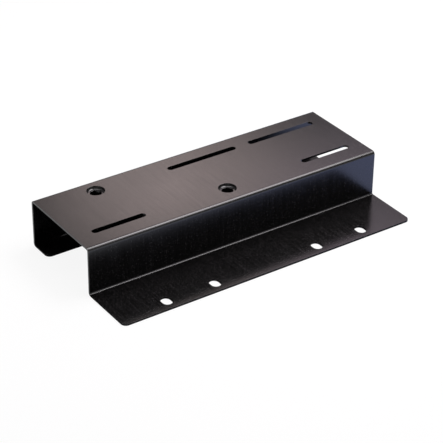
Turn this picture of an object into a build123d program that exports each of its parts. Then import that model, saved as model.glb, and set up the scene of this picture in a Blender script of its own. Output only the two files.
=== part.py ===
from build123d import *
import os

# Bracket folded from one sheet of steel: a flange at the bottom front, an upright front web,
# a flat top plate, a back leg and a lip turned in under the plate.
# Millimetres, +Z up. X runs along the bracket, Y from the flange to the back leg.
# Origin: middle of the footprint, at the underside of the flange and the lip.

# Folded sheet
length = 482.6
channel_depth = 152.9
channel_height = 73.7
flange_reach = 86.7
lip_width = 39.1
sheet = 3.0
inner_bend = 2.2
outer_bend = inner_bend + sheet
corner_round = 8.0

# Slots of the flange, long way front to back, in an inner and an outer pair
flange_slot_length = 19.0
flange_slot_width = 14.6
flange_slot_setback = 17.7
inner_pair_spacing = 172.2
outer_pair_spacing = 328.2

# Long slots of the top plate, in a front row and a back row
plate_slot_width = 9.8
front_slot_length = 84.4
front_row_inset = 35.0
front_left_slot_inset = 68.6
front_right_slot_inset = 64.6
back_slot_length = 116.8
back_row_inset = 30.9
back_right_slot_inset = 80.8
back_slot_spacing = 139.9

# Two round seats pressed down into the top plate, each with a bore in its floor
seat_diameter = 25.4
seat_drop = 4.3
seat_edge = 0.5
seat_floor_round = 3.4
cup_round = seat_floor_round + sheet
bore_diameter = 16.0
bore_edge_round = 0.8
front_seat_offset = 3.0
front_seat_inset = 32.0
back_seat_inset = 26.4
back_seat_from_left = 87.1

# Faces that the rest is measured from
left_end = -length / 2
right_end = length / 2
front_edge = -(flange_reach + channel_depth) / 2
web_face = front_edge + flange_reach
back_face = web_face + channel_depth
cutter = 4 * sheet


def section():
    """Section of the folded sheet across its length, with the bends rounded."""
    outer = [
        (web_face + sheet, 0),
        (back_face, 0),
        (back_face, channel_height),
        (web_face, channel_height),
    ]
    inner = [
        (web_face + sheet, channel_height - sheet),
        (back_face - sheet, channel_height - sheet),
        (back_face - sheet, sheet),
        (web_face, sheet),
    ]
    lip_edge = back_face - lip_width
    flange_to_lip = [(front_edge, 0), outer[0], inner[0], inner[1], inner[2], (lip_edge, sheet)]
    lip_to_flange = [(lip_edge, 0), outer[1], outer[2], outer[3], inner[3], (front_edge, sheet)]
    face = Plane.YZ * make_face(Polyline(*flange_to_lip, *lip_to_flange, close=True))
    return face, outer, inner


def at_corners(vertices, corners):
    """Vertices of the section that stand at the listed corners."""
    points = [Vector(0, y, z) for y, z in corners]
    return [v for v in vertices if any((v.center() - p).length < sheet / 100 for p in points)]


def folded_sheet():
    """The section drawn out along the whole length, all bends at one radius."""
    face, outer, inner = section()
    face = fillet(at_corners(face.vertices(), outer), outer_bend)
    face = fillet(at_corners(face.vertices(), inner), inner_bend)
    return extrude(face, length / 2, both=True)


def free_corners(body):
    """Upright edges at the front ends of the flange and of the lip."""
    upright = body.edges().filter_by(Axis.Z)
    flange = upright.group_by(Axis.Y)[0]
    lip_edge = back_face - lip_width
    lip = [e for e in upright if abs(e.center().Y - lip_edge) < sheet / 100]
    return [*flange, *lip]


def slot_cut(slot_length, slot_width, rotation=0):
    """Tool for one slot with round ends, standing through the sheet at the origin."""
    outline = SlotOverall(slot_length, slot_width, rotation=rotation)
    return extrude(outline, cutter / 2, both=True)


def flange_slots():
    """Four slots of the flange, symmetric about the middle."""
    tool = slot_cut(flange_slot_length, flange_slot_width, rotation=90)
    row = front_edge + flange_slot_setback
    spacings = (inner_pair_spacing, outer_pair_spacing)
    places = [(side * spacing / 2, row) for spacing in spacings for side in (-1, 1)]
    return [Pos(x, y, sheet / 2) * tool for x, y in places]


def plate_slots():
    """Two shorter slots in the front row and two longer ones in the back row."""
    height = channel_height - sheet / 2
    front_row = web_face + front_row_inset
    back_row = back_face - back_row_inset
    back_right = right_end - back_right_slot_inset
    short = slot_cut(front_slot_length, plate_slot_width)
    long = slot_cut(back_slot_length, plate_slot_width)
    return [
        Pos(left_end + front_left_slot_inset, front_row, height) * short,
        Pos(right_end - front_right_slot_inset, front_row, height) * short,
        Pos(back_right, back_row, height) * long,
        Pos(back_right - back_slot_spacing, back_row, height) * long,
    ]


def seat_places():
    """Centres of the two seats, at the plate's upper face."""
    front = (front_seat_offset, web_face + front_seat_inset, channel_height)
    back = (left_end + back_seat_from_left, back_face - back_seat_inset, channel_height)
    return [Pos(*front), Pos(*back)]


def seat_body():
    """Metal of one seat: a shallow cup pressed out of the sheet, upper face at z = 0."""
    height = seat_drop + sheet
    cup = Pos(Z=-height / 2) * Cylinder(seat_diameter / 2 + sheet, height)
    return fillet(cup.edges().group_by(Axis.Z)[0], cup_round)


def seat_cut():
    """Hollow of one seat, turned about its axis: eased rim, wall, rounded floor and bore."""
    radius = seat_diameter / 2
    bore_radius = bore_diameter / 2
    floor_corner = (radius, -seat_drop)
    bore_corner = (bore_radius, -seat_drop)
    below = -seat_drop - cutter
    rim = [(0, 0), (radius + seat_edge, 0), (radius, -seat_edge)]
    hollow = [*rim, floor_corner, bore_corner, (bore_radius, below), (0, below)]
    face = Plane.YZ * make_face(Polyline(*hollow, close=True))
    face = fillet(at_corners(face.vertices(), [floor_corner]), seat_floor_round)
    face = fillet(at_corners(face.vertices(), [bore_corner]), bore_edge_round)
    return revolve(face, Axis.Z)


def bracket():
    """Whole bracket as one solid."""
    body = folded_sheet()
    body = fillet(free_corners(body), corner_round)
    for place in seat_places():
        body += place * seat_body()
    for place in seat_places():
        body -= place * seat_cut()
    for tool in flange_slots() + plate_slots():
        body -= tool
    return body


os.makedirs("parts", exist_ok=True)
export_step(bracket(), "parts/bracket.step")
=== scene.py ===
"""Cable tray rack mount bracket: looks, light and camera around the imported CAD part.

The bracket is one folded sheet with a satin black finish of fine grain and faint streaks. The
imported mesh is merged, its cut edges are eased and it is painted. Five soft panels, behind it, in
front of it and overhead, and one lamp light it on a white floor.

Lengths are in metres unless an attribute says otherwise.
"""

import logging
import math
from dataclasses import dataclass
from typing import Optional, Union

import bmesh
import bpy
from mathutils import Matrix, Quaternion, Vector


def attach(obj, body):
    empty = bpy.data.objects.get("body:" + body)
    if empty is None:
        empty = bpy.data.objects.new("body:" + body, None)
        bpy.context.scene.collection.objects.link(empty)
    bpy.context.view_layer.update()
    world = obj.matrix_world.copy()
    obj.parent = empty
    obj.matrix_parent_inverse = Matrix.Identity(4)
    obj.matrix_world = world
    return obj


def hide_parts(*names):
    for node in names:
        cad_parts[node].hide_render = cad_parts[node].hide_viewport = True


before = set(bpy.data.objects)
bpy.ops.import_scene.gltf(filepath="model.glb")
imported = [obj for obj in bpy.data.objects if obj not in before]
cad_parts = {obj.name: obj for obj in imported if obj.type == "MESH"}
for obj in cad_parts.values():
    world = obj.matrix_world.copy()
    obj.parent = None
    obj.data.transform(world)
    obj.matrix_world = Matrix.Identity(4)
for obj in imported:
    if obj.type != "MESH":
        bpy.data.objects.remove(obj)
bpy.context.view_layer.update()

logging.basicConfig(level=logging.INFO, format="%(message)s")
log = logging.getLogger("bracket")

Colour = tuple[float, float, float]
Point = tuple[float, float, float]
Span = tuple[float, float]
Number = Union[float, int]
Term = Union["Sock", Number]
Shade = Union["Sock", Colour]

MM = 0.001
IMAGE_SIDE = 443
BLACK: Colour = (0.0, 0.0, 0.0)
WHITE: Colour = (1.0, 1.0, 1.0)

# Sockets of the Mix node when it mixes colours
MIX_FIRST, MIX_SECOND, MIX_RESULT = 6, 7, 2

# Middle of the values of a noise texture
NOISE_MIDDLE = 0.5

# Half of the side of a soft panel's mesh, before the panel is scaled to its size
PANEL_HALF = 0.5


# Shader graph


class Sock:
    """Wraps one shader socket, so that shader maths reads as plain arithmetic."""

    def __init__(self, graph: "Graph", socket: bpy.types.NodeSocket) -> None:
        """Keeps the graph and the socket.

        Args:
            graph: Graph that new nodes go into.
            socket: Output socket that is wrapped.
        """
        self.graph = graph
        self.socket = socket

    def _math(self, operation: str, *values: Term) -> "Sock":
        """Adds a Math node.

        Args:
            operation: The node's operation.
            values: Its inputs in order.

        Returns:
            The node's output.
        """
        return self.graph.node("ShaderNodeMath", {"operation": operation}, dict(enumerate(values)))

    def __add__(self, other: Term) -> "Sock":
        """Sum."""
        return self._math("ADD", self, other)

    def __radd__(self, other: Number) -> "Sock":
        """Sum with a number on the left."""
        return self._math("ADD", other, self)

    def __sub__(self, other: Term) -> "Sock":
        """Difference."""
        return self._math("SUBTRACT", self, other)

    def __rsub__(self, other: Number) -> "Sock":
        """Difference with a number on the left."""
        return self._math("SUBTRACT", other, self)

    def __mul__(self, other: Term) -> "Sock":
        """Product."""
        return self._math("MULTIPLY", self, other)

    def __rmul__(self, other: Number) -> "Sock":
        """Product with a number on the left."""
        return self._math("MULTIPLY", other, self)

    def other(self, name: str) -> "Sock":
        """Another output of the same node."""
        return Sock(self.graph, self.socket.node.outputs[name])

    def ramp(self, low: float, high: float) -> "Sock":
        """Smooth step.

        Args:
            low: Value that becomes 0.
            high: Value that becomes 1.

        Returns:
            A value from 0 to 1.
        """
        return self.graph.node(
            "ShaderNodeMapRange",
            {"interpolation_type": "SMOOTHSTEP"},
            {"Value": self, "From Min": low, "From Max": high},
        )


def opaque(colour: Shade) -> Union[Sock, tuple[float, float, float, float]]:
    """Gives a colour an alpha of 1 and leaves a wrapped socket as it is."""
    return colour if isinstance(colour, Sock) else (*colour, 1.0)


class Graph:
    """A material's or world's node tree, with one method that adds any node."""

    def __init__(self, tree: bpy.types.NodeTree) -> None:
        """Clears the tree.

        Args:
            tree: Node tree to fill.
        """
        self.tree = tree
        tree.nodes.clear()

    def node(
        self,
        kind: str,
        settings: Optional[dict[str, object]] = None,
        inputs: Optional[dict[Union[str, int], object]] = None,
        output: Union[str, int] = 0,
    ) -> Sock:
        """Adds a node.

        Args:
            kind: The node's type.
            settings: Attributes of the node.
            inputs: Socket name or index to a value or a wrapped socket to link.
            output: Name or index of the output that is returned.

        Returns:
            The wrapped output.
        """
        made = self.tree.nodes.new(kind)
        for key, value in (settings or {}).items():
            setattr(made, key, value)
        for key, value in (inputs or {}).items():
            if isinstance(value, Sock):
                self.tree.links.new(value.socket, made.inputs[key])
            else:
                made.inputs[key].default_value = value
        return Sock(self, made.outputs[output])

    def finish(self, kind: str, surface: Sock) -> None:
        """Links the surface to an output node.

        Args:
            kind: Type of the output node.
            surface: Wrapped shader.
        """
        made = self.tree.nodes.new(kind)
        self.tree.links.new(surface.socket, made.inputs["Surface"])

    def mix(self, factor: Term, first: Shade, second: Shade) -> Sock:
        """Mixes two colours.

        Args:
            factor: Share of the second colour.
            first: First colour.
            second: Second colour.

        Returns:
            The mixed colour.
        """
        return self.node(
            "ShaderNodeMix",
            {"data_type": "RGBA"},
            {"Factor": factor, MIX_FIRST: opaque(first), MIX_SECOND: opaque(second)},
            output=MIX_RESULT,
        )

    def noise(self, place: Sock, scale: float, detail: float, roughness: float = 0.5) -> Sock:
        """Adds a noise texture.

        Args:
            place: Point at which it is read.
            scale: Noise cells per unit of that point.
            detail: Number of finer layers.
            roughness: Share of the finer layers.

        Returns:
            A value about NOISE_MIDDLE.
        """
        return self.node(
            "ShaderNodeTexNoise",
            {},
            {"Vector": place, "Scale": scale, "Detail": detail, "Roughness": roughness},
        )

    def openness(self, reach: float, samples: int) -> Sock:
        """Measures how open a place is.

        Args:
            reach: Distance within which things count.
            samples: Rays per shading point.

        Returns:
            1 in the open, towards 0 where things within reach close the place in.
        """
        return self.node(
            "ShaderNodeAmbientOcclusion", {"samples": samples}, {"Distance": reach}, output="AO"
        )


# Finish and piece


@dataclass(frozen=True)
class SatinBlack:
    """Satin black finish with fine grain, over the faint streaks of the rolled sheet.

    Grain and streaks tint it in specks and lift its surface. Streaks and slow clouds change its
    gloss.

    Attributes:
        base: Colour between the specks.
        dust: Colour of the specks.
        index: Index of refraction.
        roughness: Roughness at the middle of the noises.
        streak_width: Width of a streak.
        streak_length: Length of a streak.
        streak_detail: Finer layers in the streaks.
        streak_raggedness: Share of those layers.
        streak_change: How much the streaks change the roughness.
        cloud_scale: Clouds per metre.
        cloud_detail: Finer layers in the clouds.
        cloud_change: How much the clouds change the roughness.
        grain_size: Size of a grain.
        grain_detail: Finer layers in the grain.
        grain_height: Height of the relief.
        grain_in_specks: Share of the grain in the specks; the rest is streaks.
        grain_in_relief: Share of the grain in the relief; the rest is streaks.
        speck_span: Values between which the tint goes from base to dust.
    """

    base: Colour = (0.0008, 0.0007, 0.0007)
    dust: Colour = (0.0270, 0.0244, 0.0260)
    index: float = 1.5
    roughness: float = 0.20
    streak_width: float = 1.4 * MM
    streak_length: float = 60.0 * MM
    streak_detail: float = 2.0
    streak_raggedness: float = 0.6
    streak_change: float = 0.17
    cloud_scale: float = 14.0
    cloud_detail: float = 3.0
    cloud_change: float = 0.04
    grain_size: float = 1.7 * MM
    grain_detail: float = 1.0
    grain_height: float = 0.011 * MM
    grain_in_specks: float = 0.7
    grain_in_relief: float = 0.85
    speck_span: Span = (0.48, 0.74)

    def build(self) -> bpy.types.Material:
        """Makes the material.

        Returns:
            The material.
        """
        material = bpy.data.materials.new("satin_black")
        material.use_nodes = True
        g = Graph(material.node_tree)
        place = g.node("ShaderNodeTexCoord", output="Object")
        across, along = 1.0 / self.streak_width, 1.0 / self.streak_length
        stretched = g.node(
            "ShaderNodeVectorMath", {"operation": "MULTIPLY"}, {0: place, 1: (across, along, along)}
        )
        streaks = g.noise(stretched, 1.0, self.streak_detail, self.streak_raggedness)
        clouds = g.noise(place, self.cloud_scale, self.cloud_detail)
        grain = g.noise(place, 1.0 / self.grain_size, self.grain_detail)
        dots = grain * self.grain_in_specks + streaks * (1.0 - self.grain_in_specks)
        tint = g.mix(dots.ramp(*self.speck_span), self.base, self.dust)
        rough = (
            self.roughness
            + (streaks - NOISE_MIDDLE) * self.streak_change
            + (clouds - NOISE_MIDDLE) * self.cloud_change
        )
        relief = grain * self.grain_in_relief + streaks * (1.0 - self.grain_in_relief)
        bump = g.node(
            "ShaderNodeBump",
            {},
            {"Strength": 1.0, "Distance": self.grain_height, "Height": relief},
        )
        shader = g.node(
            "ShaderNodeBsdfPrincipled",
            {},
            {"Base Color": tint, "Roughness": rough, "Normal": bump, "IOR": self.index},
        )
        g.finish("ShaderNodeOutputMaterial", shader)
        return material


@dataclass
class Bracket:
    """The folded sheet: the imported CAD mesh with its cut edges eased.

    Attributes:
        node: CAD node that it stands for.
        merge: Distance within which vertices are merged.
        flat: Angle up to which neighbouring faces become one.
        crease: Angle past which an edge is sharp.
        easing: Width of an eased edge.
        easing_steps: Facets across an eased edge.
        level_weight: Weight of large faces in the shading.
    """

    node: str = "bracket"
    merge: float = 0.002 * MM
    flat: float = math.radians(0.5)
    crease: float = math.radians(35)
    easing: float = 0.35 * MM
    easing_steps: int = 2
    level_weight: int = 90

    def build(self, paint: bpy.types.Material) -> bpy.types.Object:
        """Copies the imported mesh, merges it, eases its sharp edges and paints it.

        Args:
            paint: Material of the whole piece.

        Returns:
            The new piece.
        """
        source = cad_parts[self.node]
        bm = bmesh.new()
        bm.from_mesh(source.data)
        bmesh.ops.remove_doubles(bm, verts=bm.verts, dist=self.merge)
        bmesh.ops.recalc_face_normals(bm, faces=bm.faces)
        bmesh.ops.dissolve_limit(
            bm,
            angle_limit=self.flat,
            use_dissolve_boundaries=False,
            verts=bm.verts,
            edges=bm.edges,
        )
        mesh = bpy.data.meshes.new("folded_sheet")
        for face in bm.faces:
            face.smooth = True
            face.material_index = 0
        sharp = [
            edge
            for edge in bm.edges
            if len(edge.link_faces) == 2 and edge.calc_face_angle(0.0) > self.crease
        ]
        bmesh.ops.bevel(
            bm,
            geom=sharp,
            offset=self.easing,
            offset_type="OFFSET",
            segments=self.easing_steps,
            profile=0.5,
            affect="EDGES",
            material=-1,
            clamp_overlap=True,
        )
        bm.to_mesh(mesh)
        bm.free()
        piece = bpy.data.objects.new("folded_sheet", mesh)
        bpy.context.scene.collection.objects.link(piece)
        mesh.materials.append(paint)
        level = piece.modifiers.new("level_faces", "WEIGHTED_NORMAL")
        level.mode = "FACE_AREA"
        level.weight = self.level_weight
        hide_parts(self.node)
        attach(piece, "root")
        return piece


# Camera, lights and studio


@dataclass(frozen=True)
class Shot:
    """Camera matched to the photograph.

    Attributes:
        focal_px: Focal length in pixels.
        yaw: Turn of the view from +Y towards +X, in radians.
        pitch: Tilt of the view downwards, in radians.
        roll: Turn of the picture, in radians.
        eye: Place of the camera, in millimetres.
        sensor: Width of the sensor, in millimetres.
        far: Distance to which the camera sees.
    """

    focal_px: float = 1699.2
    yaw: float = 0.6089
    pitch: float = 0.5472
    roll: float = -0.0133
    eye: Point = (-1176.13, -1678.80, 1267.89)
    sensor: float = 36.0
    far: float = 20.0

    def build(self) -> bpy.types.Object:
        """Makes the camera.

        Returns:
            The camera object.
        """
        cy, sy = math.cos(self.yaw), math.sin(self.yaw)
        cp, sp = math.cos(self.pitch), math.sin(self.pitch)
        forward = Vector((sy * cp, cy * cp, -sp))
        level = Vector((cy, -sy, 0.0))
        below = forward.cross(level)
        right = math.cos(self.roll) * level + math.sin(self.roll) * below
        down = -math.sin(self.roll) * level + math.cos(self.roll) * below
        data = bpy.data.cameras.new("camera")
        data.lens = self.focal_px / IMAGE_SIDE * self.sensor
        data.sensor_width = self.sensor
        data.clip_end = self.far
        camera = bpy.data.objects.new("camera", data)
        turn = Matrix((right, -down, -forward)).transposed().to_4x4()
        camera.matrix_world = Matrix.Translation(Vector(self.eye) * MM) @ turn
        bpy.context.scene.collection.objects.link(camera)
        bpy.context.scene.camera = camera
        return camera


@dataclass(frozen=True)
class Light:
    """What every light has.

    Attributes:
        name: Name of the light.
        place: Where its middle is.
        aim: Point that it faces.
        width: Width of its face.
        height: Height of its face.
        level: Brightness of its face.
        colour: Colour of its face.
    """

    name: str
    place: Point
    aim: Point
    width: float
    height: float
    level: float
    colour: Colour = WHITE

    def facing(self, axis: str) -> Quaternion:
        """Turn that points an axis at the aim."""
        return (Vector(self.aim) - Vector(self.place)).to_track_quat(axis, "Y")


@dataclass(frozen=True)
class Lamp(Light):
    """One soft area light that faces the bracket and that the camera doesn't see."""

    def build(self) -> bpy.types.Object:
        """Makes the light, whose level is the brightness of its face.

        Returns:
            The light object.
        """
        data = bpy.data.lights.new(self.name, "AREA")
        data.shape = "RECTANGLE"
        data.size = self.width
        data.size_y = self.height
        data.energy = self.level * math.pi * self.width * self.height
        data.color = self.colour
        lamp = bpy.data.objects.new(self.name, data)
        lamp.location = self.place
        lamp.rotation_euler = self.facing("-Z").to_euler()
        lamp.visible_camera = False
        bpy.context.scene.collection.objects.link(lamp)
        return lamp


@dataclass(frozen=True)
class SoftPanel(Light):
    """A glowing panel that fades towards its rim, as a softbox does, hidden from the camera."""

    def build(self) -> bpy.types.Object:
        """Makes the panel.

        Returns:
            The panel object.
        """
        mesh = square_mesh(self.name, PANEL_HALF)
        panel = bpy.data.objects.new(self.name, mesh)
        turn = self.facing("Z").to_matrix().to_4x4()
        size = Matrix.Diagonal((self.width, self.height, 1.0, 1.0))
        panel.matrix_world = Matrix.Translation(self.place) @ turn @ size
        panel.visible_camera = False
        bpy.context.scene.collection.objects.link(panel)
        mesh.materials.append(self.glow())
        return panel

    def glow(self) -> bpy.types.Material:
        """Makes the panel's material: brightest in the middle, nothing at the rim and behind.

        Returns:
            The material.
        """
        material = bpy.data.materials.new(self.name)
        material.use_nodes = True
        g = Graph(material.node_tree)
        place = g.node("ShaderNodeTexCoord", output="Object")
        out = g.node("ShaderNodeVectorMath", {"operation": "LENGTH"}, {0: place}, output="Value")
        back = g.node("ShaderNodeNewGeometry", output="Backfacing")
        fade = (1.0 - out.ramp(0.0, PANEL_HALF)) * (1.0 - back)
        full = tuple(self.level * part for part in self.colour)
        colour = g.mix(fade, BLACK, full)
        light = g.node("ShaderNodeEmission", {}, {"Color": colour, "Strength": 1.0})
        clear = g.node("ShaderNodeBsdfTransparent")
        shader = g.node("ShaderNodeAddShader", {}, {0: light, 1: clear})
        g.finish("ShaderNodeOutputMaterial", shader)
        return material


@dataclass(frozen=True)
class Studio:
    """White floor and white surroundings with soft light, dimmer behind and overhead.

    In gloss the floor carries a painted pool of bluish light at the right, and a painted shadow
    under and close to the bracket.

    Attributes:
        floor_side: Side of the square floor.
        floor_drop: How far the floor lies under the bracket.
        ambient: Level of the even light on all that is matt.
        shadow_share: Share of the lit floor, with its shadows, in what the eye and gloss see.
        matt_seen: Matt colour of the floor where the eye sees it.
        matt_bounced: Matt colour of the floor in the light that it throws back.
        shelter: Distance within which things shelter the floor, for its painted shadow in gloss.
        shelter_span: Openness where gloss sees the floor black in painted shadow, and where white.
        nook: Distance within which things close it in, as under an edge, for a tighter painted
            shadow.
        nook_span: Openness where gloss sees the floor black in that painted shadow, and where
            white.
        openness_samples: Rays for each measure of openness.
        cool: Colour of a painted pool of bluish light on the floor, seen in gloss, at its bluest
            place.
        cool_place: That place.
        cool_reach: Distance over which that painted light fades.
        front: Level of the surroundings in front, in gloss.
        backdrop: Their level behind.
        backdrop_span: Y of the direction where the level leaves front and reaches backdrop.
        ceiling: Their level overhead.
        ceiling_span: Z of the direction where the level starts to change and reaches ceiling.
    """

    floor_side: float = 6.0
    floor_drop: float = 0.2 * MM
    ambient: float = 0.20
    shadow_share: float = 0.10
    matt_seen: Colour = (0.9, 0.9, 0.9)
    matt_bounced: Colour = (0.15, 0.15, 0.15)
    shelter: float = 0.12
    shelter_span: Span = (0.4, 0.95)
    nook: float = 0.012
    nook_span: Span = (0.84, 0.98)
    openness_samples: int = 8
    cool: Colour = (0.97, 1.15, 2.1)
    cool_place: Point = (0.6, -0.20, 0.0)
    cool_reach: float = 1.0
    front: float = 1.0
    backdrop: float = 0.35
    backdrop_span: Span = (-0.6, 0.2)
    ceiling: float = 0.25
    ceiling_span: Span = (0.22, 0.34)

    def build(self) -> None:
        """Makes the floor and the world."""
        mesh = square_mesh("floor", self.floor_side / 2)
        floor = bpy.data.objects.new("floor", mesh)
        floor.location = (0.0, 0.0, -self.floor_drop)
        bpy.context.scene.collection.objects.link(floor)
        mesh.materials.append(self.white_floor())
        self.surroundings()

    def white_floor(self) -> bpy.types.Material:
        """Makes the floor's material: white to the eye and in gloss, with its shadows; in gloss it
        also has a painted shadow near the bracket and a painted pool of bluish light.

        Returns:
            The material.
        """
        material = bpy.data.materials.new("floor_white")
        material.use_nodes = True
        material.cycles.emission_sampling = "NONE"
        g = Graph(material.node_tree)
        ray = g.node("ShaderNodeLightPath")
        # Painted shadow: gloss sees the floor darker where the bracket closes it in
        sheltered = g.openness(self.shelter, self.openness_samples)
        nestled = g.openness(self.nook, self.openness_samples)
        outside_painted_shadow = sheltered.ramp(*self.shelter_span) * nestled.ramp(*self.nook_span)
        gloss = ray.other("Is Glossy Ray") + ray.other("Is Transmission Ray")
        eye = ray.other("Is Camera Ray")
        matt = g.mix(eye, self.matt_bounced, self.matt_seen)
        lit = g.node("ShaderNodeBsdfDiffuse", {}, {"Color": matt})
        place = g.node("ShaderNodeTexCoord", output="Object")
        away = g.node(
            "ShaderNodeVectorMath",
            {"operation": "DISTANCE"},
            {0: place, 1: self.cool_place},
            output="Value",
        )
        # Painted pool of bluish light on the floor at the right, seen only in gloss
        cool = (1.0 - away.ramp(0.0, self.cool_reach)) * gloss
        painted_bluish_white = g.mix(cool, WHITE, self.cool)
        # Gloss sees white with the painted shadow and the painted bluish light; the eye sees plain
        # white
        glow = g.mix(eye + gloss * outside_painted_shadow, BLACK, painted_bluish_white)
        white = g.node("ShaderNodeEmission", {}, {"Color": glow, "Strength": 1.0})
        share = (eye + gloss) * (1.0 - self.shadow_share)
        shader = g.node("ShaderNodeMixShader", {}, {0: share, 1: lit, 2: white})
        g.finish("ShaderNodeOutputMaterial", shader)
        return material

    def surroundings(self) -> None:
        """Makes the world.

        It is white to the eye, has a dimmer backdrop and ceiling in gloss, and gives an even light
        to all that is matt.
        """
        world = bpy.data.worlds.new("world")
        bpy.context.scene.world = world
        world.use_nodes = True
        world.cycles.sampling_method = "NONE"
        g = Graph(world.node_tree)
        way = g.node("ShaderNodeTexCoord", output="Generated")
        depth = g.node("ShaderNodeSeparateXYZ", {}, {0: way}, output="Y")
        height = depth.other("Z")
        ray = g.node("ShaderNodeLightPath")
        low = self.front + depth.ramp(*self.backdrop_span) * (self.backdrop - self.front)
        seen = low + height.ramp(*self.ceiling_span) * (self.ceiling - low)
        gloss = ray.other("Is Glossy Ray") + ray.other("Is Transmission Ray")
        extra = gloss * (seen - self.ambient)
        strength = ray.other("Is Camera Ray") * (1.0 - self.ambient) + extra + self.ambient
        sky = g.node("ShaderNodeBackground", {}, {"Color": opaque(WHITE), "Strength": strength})
        g.finish("ShaderNodeOutputWorld", sky)


def square_mesh(name: str, half: float) -> bpy.types.Mesh:
    """Makes a flat square about the origin, facing up.

    Args:
        name: Name of the mesh.
        half: Half of its side.

    Returns:
        The mesh.
    """
    bm = bmesh.new()
    bmesh.ops.create_grid(bm, x_segments=1, y_segments=1, size=half)
    mesh = bpy.data.meshes.new(name)
    bm.to_mesh(mesh)
    bm.free()
    return mesh


# Points that the lights face: the plate's middle and the floor behind the bracket
PLATE: Point = (0.0, 0.03, 0.07)
BEHIND: Point = (-0.087, 0.238, 0.0)

LIGHTS: tuple[Union[SoftPanel, Lamp], ...] = (
    SoftPanel(
        "back_softbox", (0.500, 0.932, 0.694), PLATE, 0.84, 0.50, 3.05, (1.0, 0.81, 0.79)
    ),
    SoftPanel(
        "back_right_softbox", (0.860, 0.670, 0.760), PLATE, 0.84, 0.50, 1.70, (1.0, 0.80, 0.95)
    ),
    SoftPanel(
        "high_right_softbox", (0.697, 0.541, 1.035), PLATE, 0.84, 0.50, 1.0, (1.0, 0.92, 1.0)
    ),
    SoftPanel("overhead_fill", (0.64, -0.76, 1.30), PLATE, 1.1, 1.0, 3.0, (1.0, 0.97, 1.0)),
    SoftPanel("zenith_softbox", (-0.03, 0.32, 1.45), BEHIND, 2.4, 0.6, 9.0, (1.0, 0.97, 1.0)),
    Lamp("key_lamp", (0.775, 0.0, 1.45), PLATE, 1.2, 0.75, 8.0, (1.0, 0.95, 0.97)),
)


def main() -> None:
    """Builds the bracket, the studio, the lights and the camera in order."""
    bpy.context.scene.view_settings.view_transform = "Standard"
    paint = SatinBlack().build()
    piece = Bracket().build(paint)
    log.info("built %s: %d faces", piece.name, len(piece.data.polygons))
    Studio().build()
    for light in LIGHTS:
        light.build()
    Shot().build()


if __name__ == "__main__":
    main()
